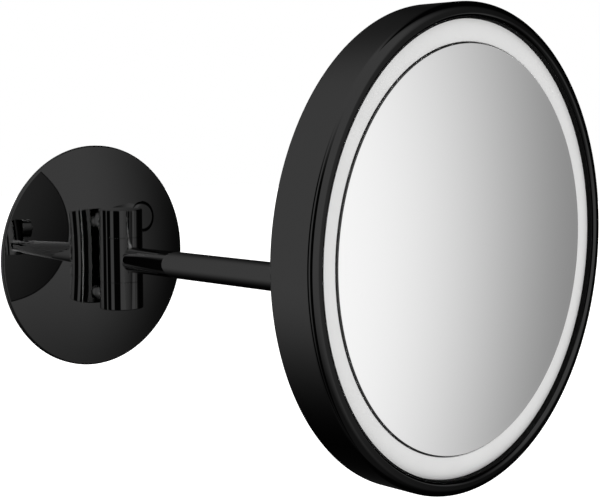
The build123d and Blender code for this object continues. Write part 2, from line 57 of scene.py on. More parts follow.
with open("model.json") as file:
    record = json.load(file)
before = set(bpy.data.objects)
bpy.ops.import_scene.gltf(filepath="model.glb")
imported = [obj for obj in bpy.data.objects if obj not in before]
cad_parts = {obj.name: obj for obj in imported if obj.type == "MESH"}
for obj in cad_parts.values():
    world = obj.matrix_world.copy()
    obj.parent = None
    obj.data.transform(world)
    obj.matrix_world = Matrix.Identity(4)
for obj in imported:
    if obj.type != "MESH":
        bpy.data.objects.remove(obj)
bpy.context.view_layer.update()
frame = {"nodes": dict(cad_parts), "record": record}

MM = 0.001
OUTWARDS = Matrix.Rotation(math.radians(90), 4, "X")
WHITE = (1, 1, 1, 1)

# Points closer than the first are merged, and a corner is looked for within the second
MERGE_REACH = 1e-7
CORNER_REACH = 1e-6
CORNER_STEPS = 5
SHARP_ANGLE = math.radians(35)


# Places read from the frame


def span(node, axis):
    """A node's lowest and highest place along x, y or z, given as 0, 1 or 2."""
    low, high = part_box(node)
    return low[axis], high[axis]


def middle(node, axis):
    """The middle of a node along x, y or z, given as 0, 1 or 2."""
    return sum(span(node, axis)) / 2


HEAD_PLACE = Matrix.Translation((0, span("front_bezel", 1)[1], middle("front_bezel", 2))) @ OUTWARDS


# Colour and shader helpers


def linear(code):
    """An sRGB hex colour as linear red, green, blue and alpha."""
    parts = [int(code[i : i + 2], 16) / 255 for i in (1, 3, 5)]
    return [p / 12.92 if p <= 0.04045 else ((p + 0.055) / 1.055) ** 2.4 for p in parts] + [1.0]


def add(tree, kind, values=None, links=None, **settings):
    """Add a node, set its properties and sockets, and link its inputs."""
    made = tree.nodes.new(kind)
    for name, value in settings.items():
        setattr(made, name, value)
    for socket, value in (values or {}).items():
        made.inputs[socket].default_value = value
    for socket, source in (links or {}).items():
        tree.links.new(source, made.inputs[socket])
    return made


def empty_material(name):
    """A material with no nodes yet."""
    made = bpy.data.materials.new(name)
    made.use_nodes = True
    made.node_tree.nodes.clear()
    return made, made.node_tree


# Shape helpers


def line(form, vert, *points):
    """Extrude an outline's last vertex through points given as radius and height."""
    for radius, height in points:
        vert = bmesh.ops.extrude_vert_indiv(form, verts=[vert])["verts"][0]
        vert.co = (radius, 0, height)
    return vert


def arc(form, vert, radius, height, angle, steps):
    """Swing an outline's last vertex about a point given as radius and height."""
    made = bmesh.ops.spin(
        form, geom=[vert], cent=(radius, 0, height), axis=(0, 1, 0), angle=angle, steps=steps
    )
    return next(v for v in made["geom_last"] if isinstance(v, bmesh.types.BMVert))


def turn(form, place, steps, rounds=()):
    """Turn the outline about the upright axis, round its named corners and put the ring in its place."""
    bmesh.ops.spin(
        form, geom=[*form.verts, *form.edges], cent=(0, 0, 0), axis=(0, 0, 1), angle=2 * math.pi,
        steps=steps, use_merge=True,
    )
    bmesh.ops.remove_doubles(form, verts=form.verts, dist=MERGE_REACH)
    bmesh.ops.recalc_face_normals(form, faces=form.faces)
    for radius, height, size in rounds:
        corner = [
            v for v in form.verts
            if math.hypot(math.hypot(v.co.x, v.co.y) - radius, v.co.z - height) < CORNER_REACH
        ]
        ring = [e for e in form.edges if e.verts[0] in corner and e.verts[1] in corner]
        bmesh.ops.bevel(
            form, geom=ring, offset=size, offset_type="OFFSET", affect="EDGES", segments=CORNER_STEPS,
            profile=0.5, material=-1, clamp_overlap=True,
        )
    bmesh.ops.transform(form, matrix=place, verts=form.verts)


def piece(name, form, body, slot, materials, *nodes):
    """Make a form an object that rides on a body, takes the given finishes and stands for frame nodes; the
    slot is not used.
    """
    mesh = bpy.data.meshes.new(name)
    form.to_mesh(mesh)
    form.free()
    mesh.shade_smooth()
    mesh.set_sharp_from_angle(angle=SHARP_ANGLE)
    for finish in materials:
        mesh.materials.append(bpy.data.materials[finish])
    made = bpy.data.objects.new(name, mesh)
    bpy.context.scene.collection.objects.link(made)
    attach(made, body)
    if nodes:
        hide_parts(*nodes)
    return made


def even_shading(made):
    """Let a piece's large faces set its shading, so that they look straight beside rounded corners."""
    weighted = made.modifiers.new("even_shading", "WEIGHTED_NORMAL")
    weighted.mode = "FACE_AREA"
    weighted.keep_sharp = True


# Settings


class HeadSettings(bpy.types.PropertyGroup):
    """Sizes of the mirror's head."""

    bead_width: FloatProperty(
        name="Bead width", description="Width of the rounded front edge", default=6.4 * MM,
        unit="LENGTH",
    )
    lip_round: FloatProperty(
        name="Lip round", description="Rounding of the front edge's inner side", default=1.8 * MM,
        unit="LENGTH",
    )
    drum_wall: FloatProperty(
        name="Drum wall", description="Thickness of the drum's side", default=2.0 * MM, unit="LENGTH",
    )
    back_round: FloatProperty(
        name="Back round", description="Rounding of the drum's back edge", default=1.5 * MM,
        unit="LENGTH",
    )
    shadow_gasket_wrap: FloatProperty(
        name="Gasket wrap", description="How far the gasket wraps round the bead",
        default=math.radians(22), subtype="ANGLE",
    )
    shadow_gasket_proud: FloatProperty(
        name="Gasket height", description="How far the gasket stands out of the bead", default=0.4 * MM,
        unit="LENGTH",
    )
    light_width: FloatProperty(
        name="Light ring width", description="Visible width of the frosted ring", default=9.4 * MM,
        unit="LENGTH",
    )
    light_round: FloatProperty(
        name="Light ring round", description="Rounding of the frosted ring's inner edge", default=0.3 * MM,
        unit="LENGTH",
    )
    glass_thickness: FloatProperty(
        name="Glass thickness", description="Thickness of the mirror glass", default=3.0 * MM,
        unit="LENGTH",
    )
    glass_curve: FloatProperty(
        name="Glass curve", description="Radius of the hollow face", default=0.8, unit="LENGTH",
    )
    glass_bevel: FloatProperty(
        name="Glass bevel", description="Width of the ground bevel", default=0.3 * MM, unit="LENGTH",
    )
    smoothness: IntProperty(name="Smoothness", description="Flats round the head", default=256)


class ArmSettings(bpy.types.PropertyGroup):
    """Sizes of the arm."""

    wall: FloatProperty(
        name="Arm wall", description="Thickness of the tube", default=1.5 * MM, unit="LENGTH",
    )
    smoothness: IntProperty(name="Smoothness", description="Flats round the arm", default=128)


class FinishSettings(bpy.types.PropertyGroup):
    """Colours of the finishes."""

    chrome: FloatVectorProperty(
        name="Black chrome", description="How much the black plating mirrors", size=4, subtype="COLOR",
        default=linear("#383838"),
    )
    silver: FloatVectorProperty(
        name="Silver", description="Tint of the silvered glass", size=4, subtype="COLOR",
        default=linear("#f7f7f7"),
    )
    acrylic: FloatVectorProperty(
        name="Acrylic", description="White of the light ring", size=4, subtype="COLOR",
        default=linear("#dadada"),
    )


class StudioSettings(bpy.types.PropertyGroup):
    """Camera, floor and light."""

    camera_place: FloatVectorProperty(
        name="Camera place", description="Where the camera stands", size=3, subtype="TRANSLATION",
        default=(-0.39644, -0.52354, 0.07101),
    )
    camera_azimuth: FloatProperty(
        name="Camera azimuth", description="Turn of the camera round the object, from the front",
        default=math.radians(-47.051), subtype="ANGLE",
    )
    camera_elevation: FloatProperty(
        name="Camera elevation", description="How far the camera looks down",
        default=math.radians(5.958), subtype="ANGLE",
    )
    lens: FloatProperty(
        name="Lens", description="Focal length in millimetres", default=70.597, subtype="DISTANCE_CAMERA",
    )
    floor_drop: FloatProperty(
        name="Floor drop", description="How far the floor lies below the head", default=0.3,
        unit="LENGTH",
    )
    key_strength: FloatProperty(
        name="Key strength", description="Strength of the key light", default=0.2,
    )


# Finishes


class MIRROR_OT_finishes(bpy.types.Operator):
    """Make the finishes and give them to the frame's nodes"""

    bl_idname = "mirror.finishes"
    bl_label = "Finishes"

    def execute(self, context):
        colours = context.scene.mirror_finishes
        made = {
            "black_gloss": self.black_chrome(colours),
            "mirror": self.silvered_glass(colours),
            "frosted_acrylic": self.opal_acrylic(colours),
            "steel": self.zinc_plate(),
            "aluminium": self.pressed_aluminium(),
            "nylon": self.moulded(
                "black_nylon", "#161616", "#202020", smooth=0.42, rough=0.6, grain_mm=0.8
            ),
            "rubber": self.moulded(
                "black_rubber", "#070707", "#0d0d0d", smooth=0.8, rough=1.0, grain_mm=0.5, shine=0.05
            ),
            "foam": self.foam(),
            "white_plastic": self.moulded(
                "white_moulded_abs", "#e9e9e6", "#f2f2ef", smooth=0.35, rough=0.5, grain_mm=0.7
            ),
            "black_plastic": self.moulded(
                "black_moulded_abs", "#161616", "#232323", smooth=0.4, rough=0.6, grain_mm=0.6
            ),
            "circuit_board": self.solder_mask(),
            "led": self.phosphor(),
        }
        self.ground_edge()
        for part in frame["record"]["subparts"]:
            mesh = frame["nodes"][part["node"]].data
            mesh.materials.clear()
            mesh.materials.append(made[part["material_slot"]])
        return {"FINISHED"}

    def black_chrome(self, colours):
        """Black plating on polished metal."""
        # Plated over polished metal: a dim mirror at nearly every angle, with the faintest waviness
        material, tree = empty_material("polished_black_chrome")
        place = add(tree, "ShaderNodeTexCoord")
        # Polishing leaves waves of about 2 mm
        waves = add(
            tree, "ShaderNodeTexNoise", {"Scale": 1 / (2 * MM), "Detail": 1.0},
            {"Vector": place.outputs["Object"]},
        )
        # Wiping leaves a haze in patches of about 30 mm
        haze = add(
            tree, "ShaderNodeTexNoise", {"Scale": 1 / (30 * MM), "Detail": 3.0},
            {"Vector": place.outputs["Object"]},
        )
        gloss = add(
            tree, "ShaderNodeMapRange",
            {"From Min": 0.3, "From Max": 0.7, "To Min": 0.01, "To Max": 0.025},
            {"Value": haze.outputs["Fac"]},
        )
        bump = add(
            tree, "ShaderNodeBump", {"Strength": 0.02, "Distance": 0.01 * MM},
            {"Height": waves.outputs["Fac"]},
        )
        shader = add(
            tree, "ShaderNodeBsdfPrincipled",
            {"Base Color": colours.chrome, "Metallic": 1.0, "Specular Tint": linear("#bcbcbc")},
            {"Roughness": gloss.outputs[0], "Normal": bump.outputs[0]},
        )
        add(tree, "ShaderNodeOutputMaterial", links={"Surface": shader.outputs[0]})
        return material

    def silvered_glass(self, colours):
        """The mirror's silver, seen through its glass."""
        # Silver behind clear white glass: a sharp and neutral reflection, with faint marks from wiping
        material, tree = empty_material("silvered_glass")
        place = add(tree, "ShaderNodeTexCoord")
        # Wiping marks are about 40 mm wide
        marks = add(
            tree, "ShaderNodeTexNoise", {"Scale": 1 / (40 * MM), "Detail": 4.0},
            {"Vector": place.outputs["Object"]},
        )
        haze = add(
            tree, "ShaderNodeMapRange",
            {"From Min": 0.35, "From Max": 0.75, "To Min": 0.0, "To Max": 0.012},
            {"Value": marks.outputs["Fac"]},
        )
        shader = add(
            tree, "ShaderNodeBsdfPrincipled", {"Base Color": colours.silver, "Metallic": 1.0},
            {"Roughness": haze.outputs[0]},
        )
        add(tree, "ShaderNodeOutputMaterial", links={"Surface": shader.outputs[0]})
        return material

    def ground_edge(self):
        """The mirror's bevel and edge."""
        # Ground glass with dark backing paint behind it: a dim edge with a fine grind
        material, tree = empty_material("ground_glass_edge")
        place = add(tree, "ShaderNodeTexCoord")
        # Grinding marks are far finer than a pixel, so they are drawn 1 mm apart
        grind = add(
            tree, "ShaderNodeTexNoise", {"Scale": 1 / (1 * MM), "Detail": 2.0},
            {"Vector": place.outputs["Object"]},
        )
        tint = add(
            tree, "ShaderNodeMix", {"A": linear("#202020"), "B": linear("#303030")},
            {"Factor": grind.outputs["Fac"]}, data_type="RGBA",
        )
        gloss = add(
            tree, "ShaderNodeMapRange", {"To Min": 0.1, "To Max": 0.25}, {"Value": grind.outputs["Fac"]}
        )
        shader = add(
            tree, "ShaderNodeBsdfPrincipled", {"IOR": 1.52},
            {"Base Color": tint.outputs["Result"], "Roughness": gloss.outputs[0]},
        )
        add(tree, "ShaderNodeOutputMaterial", links={"Surface": shader.outputs[0]})
        return material

    def opal_acrylic(self, colours):
        """The frosted light ring."""
        # Opal acrylic, frosted on its face: an even white that scatters light, with a soft sheen
        material, tree = empty_material("opal_acrylic")
        place = add(tree, "ShaderNodeTexCoord")
        # The frosting's grain is about 0.1 mm and is drawn at 0.5 mm to show
        grain = add(
            tree, "ShaderNodeTexNoise", {"Scale": 1 / (0.5 * MM), "Detail": 2.0},
            {"Vector": place.outputs["Object"]},
        )
        # Casting leaves clouds of about 15 mm in the white
        cloud = add(
            tree, "ShaderNodeTexNoise", {"Scale": 1 / (15 * MM), "Detail": 2.0},
            {"Vector": place.outputs["Object"]},
        )
        white = add(
            tree, "ShaderNodeMix", {"A": linear("#d3d3d3"), "B": colours.acrylic},
            {"Factor": cloud.outputs["Fac"]}, data_type="RGBA",
        )
        sheen = add(
            tree, "ShaderNodeMapRange", {"To Min": 0.42, "To Max": 0.58}, {"Value": grain.outputs["Fac"]}
        )
        bump = add(
            tree, "ShaderNodeBump", {"Strength": 0.1, "Distance": 0.05 * MM},
            {"Height": grain.outputs["Fac"]},
        )
        shader = add(
            tree, "ShaderNodeBsdfPrincipled", {"IOR": 1.49},
            {
                "Base Color": white.outputs["Result"],
                "Roughness": sheen.outputs[0],
                "Normal": bump.outputs[0],
            },
        )
        add(tree, "ShaderNodeOutputMaterial", links={"Surface": shader.outputs[0]})
        return material

    def zinc_plate(self):
        """Zinc-plated steel of the screws, springs and bracket."""
        # Bright zinc on rolled steel: a bluish grey metal with a soft grain and a slightly uneven gloss
        material, tree = empty_material("zinc_plated_steel")
        place = add(tree, "ShaderNodeTexCoord")
        # Rolling marks, about 0.6 mm apart and 12 mm long
        stretch = add(
            tree, "ShaderNodeMapping", {"Scale": (1 / (0.6 * MM), 1 / (0.6 * MM), 1 / (12 * MM))},
            {"Vector": place.outputs["Object"]},
        )
        grain = add(
            tree, "ShaderNodeTexNoise", {"Scale": 1.0, "Detail": 3.0}, {"Vector": stretch.outputs[0]}
        )
        # Zinc settles in patches of about 4 mm
        patch = add(
            tree, "ShaderNodeTexNoise", {"Scale": 1 / (4 * MM), "Detail": 2.0},
            {"Vector": place.outputs["Object"]},
        )
        tint = add(
            tree, "ShaderNodeMix", {"A": linear("#b4b8bd"), "B": linear("#cdd0d3")},
            {"Factor": patch.outputs["Fac"]}, data_type="RGBA",
        )
        gloss = add(
            tree, "ShaderNodeMapRange", {"To Min": 0.25, "To Max": 0.45}, {"Value": grain.outputs["Fac"]}
        )
        bump = add(
            tree, "ShaderNodeBump", {"Strength": 0.1, "Distance": 0.02 * MM},
            {"Height": grain.outputs["Fac"]},
        )
        shader = add(
            tree, "ShaderNodeBsdfPrincipled", {"Metallic": 1.0},
            {
                "Base Color": tint.outputs["Result"],
                "Roughness": gloss.outputs[0],
                "Normal": bump.outputs[0],
            },
        )
        add(tree, "ShaderNodeOutputMaterial", links={"Surface": shader.outputs[0]})
        return material

    def pressed_aluminium(self):
        """The mirror's carrier plate."""
        # Mill-finish sheet, pressed: a pale satin metal with drawn lines
        material, tree = empty_material("pressed_aluminium")
        place = add(tree, "ShaderNodeTexCoord")
        # Mill lines, about 0.8 mm apart and 40 mm long
        stretch = add(
            tree, "ShaderNodeMapping", {"Scale": (1 / (40 * MM), 1 / (0.8 * MM), 1 / (0.8 * MM))},
            {"Vector": place.outputs["Object"]},
        )
        lines = add(
            tree, "ShaderNodeTexNoise", {"Scale": 1.0, "Detail": 3.0}, {"Vector": stretch.outputs[0]}
        )
        tint = add(
            tree, "ShaderNodeMix", {"A": linear("#d3d5d7"), "B": linear("#e6e7e8")},
            {"Factor": lines.outputs["Fac"]}, data_type="RGBA",
        )
        gloss = add(
            tree, "ShaderNodeMapRange", {"To Min": 0.3, "To Max": 0.5}, {"Value": lines.outputs["Fac"]}
        )
        shader = add(
            tree, "ShaderNodeBsdfPrincipled", {"Metallic": 1.0},
            {"Base Color": tint.outputs["Result"], "Roughness": gloss.outputs[0]},
        )
        add(tree, "ShaderNodeOutputMaterial", links={"Surface": shader.outputs[0]})
        return material

    def moulded(self, name, dark, pale, smooth, rough, grain_mm, shine=0.5):
        """A moulded plastic or rubber."""
        # Moulded in a spark-eroded tool: an even colour with a fine grained skin
        material, tree = empty_material(name)
        place = add(tree, "ShaderNodeTexCoord")
        # The skin's grain is about 0.1 mm and is drawn coarser to show
        grain = add(
            tree, "ShaderNodeTexNoise", {"Scale": 1 / (grain_mm * MM), "Detail": 2.0},
            {"Vector": place.outputs["Object"]},
        )
        tint = add(
            tree, "ShaderNodeMix", {"A": linear(dark), "B": linear(pale)},
            {"Factor": grain.outputs["Fac"]}, data_type="RGBA",
        )
        gloss = add(
            tree, "ShaderNodeMapRange", {"To Min": smooth, "To Max": rough},
            {"Value": grain.outputs["Fac"]},
        )
        bump = add(
            tree, "ShaderNodeBump", {"Strength": 0.2, "Distance": 0.05 * MM},
            {"Height": grain.outputs["Fac"]},
        )
        shader = add(
            tree, "ShaderNodeBsdfPrincipled", {"IOR": 1.53, "Specular IOR Level": shine},
            {
                "Base Color": tint.outputs["Result"],
                "Roughness": gloss.outputs[0],
                "Normal": bump.outputs[0],
            },
        )
        add(tree, "ShaderNodeOutputMaterial", links={"Surface": shader.outputs[0]})
        return material

    def foam(self):
        """The bonding foam behind the mirror."""
        # Closed-cell polyethylene foam: a dull white of small cells
        material, tree = empty_material("closed_cell_foam")
        place = add(tree, "ShaderNodeTexCoord")
        # Cells of about 0.6 mm
        cells = add(
            tree, "ShaderNodeTexVoronoi", {"Scale": 1 / (0.6 * MM)}, {"Vector": place.outputs["Object"]}
        )
        tint = add(
            tree, "ShaderNodeMix", {"A": linear("#e2e2df"), "B": linear("#c3c3c0")},
            {"Factor": cells.outputs["Distance"]}, data_type="RGBA",
        )
        bump = add(
            tree, "ShaderNodeBump", {"Strength": 0.5, "Distance": 0.2 * MM},
            {"Height": cells.outputs["Distance"]},
        )
        shader = add(
            tree, "ShaderNodeBsdfPrincipled", {"Roughness": 0.9, "IOR": 1.5},
            {"Base Color": tint.outputs["Result"], "Normal": bump.outputs[0]},
        )
        add(tree, "ShaderNodeOutputMaterial", links={"Surface": shader.outputs[0]})
        return material

    def solder_mask(self):
        """The circuit boards."""
        # Green solder mask over copper tracks on glass-filled epoxy: a satin green with paler tracks
        material, tree = empty_material("green_solder_mask")
        place = add(tree, "ShaderNodeTexCoord")
        # The boards stand upright, so the tracks are drawn on x and z, in a grid of 2.5 by 1.25 mm
        upright = add(
            tree, "ShaderNodeMapping", {"Rotation": (math.radians(90), 0, 0)},
            {"Vector": place.outputs["Object"]},
        )
        tracks = add(
            tree, "ShaderNodeTexBrick",
            {
                "Scale": 1 / (5 * MM),
                "Mortar Size": 0.04,
                "Mortar Smooth": 0.1,
                "Color1": linear("#0f4a27"),
                "Color2": linear("#124f2b"),
                "Mortar": linear("#2f7d4c"),
            },
            {"Vector": upright.outputs[0]},
        )
        gloss = add(
            tree, "ShaderNodeMapRange", {"To Min": 0.3, "To Max": 0.45}, {"Value": tracks.outputs["Fac"]}
        )
        bump = add(
            tree, "ShaderNodeBump", {"Strength": 0.3, "Distance": 0.05 * MM},
            {"Height": tracks.outputs["Fac"]},
        )
        shader = add(
            tree, "ShaderNodeBsdfPrincipled", {"IOR": 1.5},
            {
                "Base Color": tracks.outputs["Color"],
                "Roughness": gloss.outputs[0],
                "Normal": bump.outputs[0],
            },
        )
        add(tree, "ShaderNodeOutputMaterial", links={"Surface": shader.outputs[0]})
        return material

    def phosphor(self):
        """The light-emitting diodes."""
        # Silicone filled with yellow phosphor: a waxy yellow with a little grain
        material, tree = empty_material("yellow_phosphor")
        place = add(tree, "ShaderNodeTexCoord")
        # Phosphor grains are a few hundredths of a millimetre and are drawn at 0.4 mm
        grain = add(
            tree, "ShaderNodeTexNoise", {"Scale": 1 / (0.4 * MM), "Detail": 2.0},
            {"Vector": place.outputs["Object"]},
        )
        tint = add(
            tree, "ShaderNodeMix", {"A": linear("#e3c64f"), "B": linear("#f3dd7c")},
            {"Factor": grain.outputs["Fac"]}, data_type="RGBA",
        )
        gloss = add(
            tree, "ShaderNodeMapRange", {"To Min": 0.3, "To Max": 0.45}, {"Value": grain.outputs["Fac"]}
        )
        shader = add(
            tree, "ShaderNodeBsdfPrincipled", {"IOR": 1.41},
            {"Base Color": tint.outputs["Result"], "Roughness": gloss.outputs[0]},
        )
        add(tree, "ShaderNodeOutputMaterial", links={"Surface": shader.outputs[0]})
        return material


# Pieces

# Steps of the arcs in the pieces' outlines
BEAD_STEPS = 16
SHADOW_GASKET_STEPS = 8
FACE_STEPS = 32

# A face of the glass looks straight out or back where its normal's share along y is more than this
STRAIGHT_SHARE = 0.9


class MIRROR_OT_head_ring(bpy.types.Operator):
    """Turn the drum's side and its bead-shaped front"""

    bl_idname = "mirror.head_ring"
    bl_label = "Head ring"

    def execute(self, context):
        sizes = context.scene.mirror_head
        front, back = span("front_bezel", 1)
        radius = span("front_bezel", 0)[1]
        bead = sizes.bead_width / 2
        depth = back - front - bead
        inner = radius - sizes.drum_wall
        lip = back - span("diffuser_ring", 1)[0]
        shoulder = back - span("head_seal", 1)[0]
        form = bmesh.new()
        start = form.verts.new((radius, 0, 0))
        side = line(form, start, (radius, depth))
        crown = arc(form, side, radius - bead, depth, -math.pi / 2, BEAD_STEPS)
        edge = radius - 2 * bead + sizes.lip_round
        flat = line(form, crown, (edge, depth + bead))
        fall = arc(form, flat, edge, depth + bead - sizes.lip_round, -math.pi / 2, BEAD_STEPS)
        end = line(
            form, fall, (radius - 2 * bead, lip), (inner - sizes.drum_wall, lip),
            (inner - sizes.drum_wall, shoulder), (inner, shoulder), (inner, 0),
        )
        form.edges.new((end, start))
        turn(form, HEAD_PLACE, sizes.smoothness, [(radius, 0, sizes.back_round)])
        made = piece(
            "head_ring", form, "head", "black_gloss", ["polished_black_chrome"], "front_bezel"
        )
        even_shading(made)
        return {"FINISHED"}


class MIRROR_OT_shadow_gasket(bpy.types.Operator):
    """Turn the dark gasket between the bead and the light ring; its black is partly painted shade for the
    shadowed gap there
    """

    bl_idname = "mirror.light_gasket"
    bl_label = "Shadow gasket"

    def execute(self, context):
        sizes = context.scene.mirror_head
        front, back = span("front_bezel", 1)
        edge = span("front_bezel", 0)[1] - sizes.bead_width + sizes.lip_round
        depth = back - front - sizes.lip_round
        lip = back - span("diffuser_ring", 1)[0]
        reach = sizes.lip_round + sizes.shadow_gasket_proud
        root = edge - sizes.lip_round / 2
        top = math.pi - sizes.shadow_gasket_wrap
        form = bmesh.new()
        start = form.verts.new((edge + reach * math.cos(top), 0, depth + reach * math.sin(top)))
        fall = arc(form, start, edge, depth, -sizes.shadow_gasket_wrap, SHADOW_GASKET_STEPS)
        end = line(form, fall, (edge - reach, lip), (root, lip), (root, depth))
        form.edges.new((end, start))
        turn(form, HEAD_PLACE, sizes.smoothness)
        # Painted shade: this black rubber ring fills the gap between the bead and the light ring, and it
        # also stands in for the shadow that falls in that gap
        piece("light_gasket", form, "head", "rubber", ["black_rubber"])
        return {"FINISHED"}


class MIRROR_OT_light_ring(bpy.types.Operator):
    """Turn the frosted light ring"""

    bl_idname = "mirror.light_ring"
    bl_label = "Light ring"

    def execute(self, context):
        sizes = context.scene.mirror_head
        back = span("front_bezel", 1)[1]
        face, foot = (back - y for y in span("diffuser_ring", 1))
        outer = span("diffuser_ring", 0)[1]
        inner = span("front_bezel", 0)[1] - sizes.bead_width - sizes.light_width
        form = bmesh.new()
        start = form.verts.new((inner, 0, foot))
        end = line(form, start, (inner, face), (outer, face), (outer, foot))
        form.edges.new((end, start))
        turn(form, HEAD_PLACE, sizes.smoothness, [(inner, face, sizes.light_round)])
        made = piece(
            "light_ring", form, "head", "frosted_acrylic", ["opal_acrylic"], "diffuser_ring"
        )
        even_shading(made)
        return {"FINISHED"}


class MIRROR_OT_glass(bpy.types.Operator):
    """Turn the hollow mirror glass with its ground bevel"""

    bl_idname = "mirror.glass"
    bl_label = "Mirror glass"

    def execute(self, context):
        sizes = context.scene.mirror_head
        curve = sizes.glass_curve
        radius = span("mirror_glass", 0)[1]
        face = radius - sizes.glass_bevel
        back = curve + sizes.glass_thickness
        rim = span("front_bezel", 1)[1] - span("mirror_glass", 1)[0]
        centre = rim + math.sqrt(curve**2 - face**2)
        foot = centre - math.sqrt(curve**2 - radius**2) - sizes.glass_bevel
        form = bmesh.new()
        pole = form.verts.new((0, 0, centre - curve))
        edge = arc(form, pole, 0, centre, -math.asin(face / curve), FACE_STEPS)
        corner = line(form, edge, (radius, foot), (radius, centre - math.sqrt(back**2 - radius**2)))
        arc(form, corner, 0, centre, math.asin(radius / back), FACE_STEPS)
        turn(form, HEAD_PLACE, sizes.smoothness)
        made = piece(
            "glass", form, "head", "mirror", ["silvered_glass", "ground_glass_edge"], "mirror_glass"
        )
        # The bevel and the edge are the faces that don't look straight out or back
        for flat in made.data.polygons:
            flat.material_index = int(abs(flat.normal.y) < STRAIGHT_SHARE)
        return {"FINISHED"}


class MIRROR_OT_arm(bpy.types.Operator):
    """Turn the round arm"""

    bl_idname = "mirror.arm"
    bl_label = "Arm"

    def execute(self, context):
        sizes = context.scene.mirror_arm
        end, start = (-y for y in span("arm_tube", 1))
        radius = span("arm_tube", 0)[1]
        form = bmesh.new()
        first = form.verts.new((radius, 0, start))
        last = line(form, first, (radius, end), (radius - sizes.wall, end), (radius - sizes.wall, start))
        form.edges.new((last, first))
        turn(form, OUTWARDS, sizes.smoothness)
        piece("arm", form, "arm", "black_gloss", ["polished_black_chrome"], "arm_tube")
        return {"FINISHED"}


# Stage

SENSOR_WIDTH = 36
FLOOR_REACH = 6.0

# Bearings in the studio run to the right from 70 degrees left of the front, so that their jump from 180
# to -180 falls in the dark. They and the heights are in degrees. Each end is given by the angle where the
# light, or the screen, is gone and the angle where it is whole
FIRST_BEARING = -70
RIGHT_END = (134, 102)
BACK_END = (-152, -75)
LOW_END = (-50, -8)
SCREEN_TOP = (60, 25)
# The left and right sides of the two dark screens
SCREENS = ((-44, -23), (-6, 27))
SCREEN_BLUR = 2
# The light on the left reaches further back overhead, and lower than the light on the right
OVERHEAD_LEAN = 0.5
LOW_LEAN = -0.06
LIGHT_BELOW = 0.12
LEAST_LIGHT = 0.02

# What the camera sees behind the object, and the light that matt surfaces get
BACKDROP_LIGHT = 1.0
ROOM_LIGHT = 0.75

# A reflection in black plating keeps about a 25th of the light, and less where it comes from behind
MADE_UP = (25.0, 32.0)
BEHIND = (-95, -125)
# More is kept at a glancing angle, and such light goes on to the right
GLANCING = (48, 78)
GLANCING_SHARE = 0.08
# Light is made up for in full at the second reflection, and less so at later ones, which would glare
MOST_MADE_UP = 1.85

# The card stands at the front right. It is white at the first place along y and grey at the second, and
# its shade runs a little aslant, so that it stands upright in the mirror
CARD_HALF = (0.15, 0.09)
CARD_PLACE = (0.7, -0.74, -0.065)
CARD_WHITE_AT = -0.663
CARD_GREY_AT = -0.8
CARD_GREY = 0.26
CARD_SLANT = -0.144

KEY_SPREAD = math.radians(60)
KEY_TURN = (math.radians(50), 0, math.radians(-30))


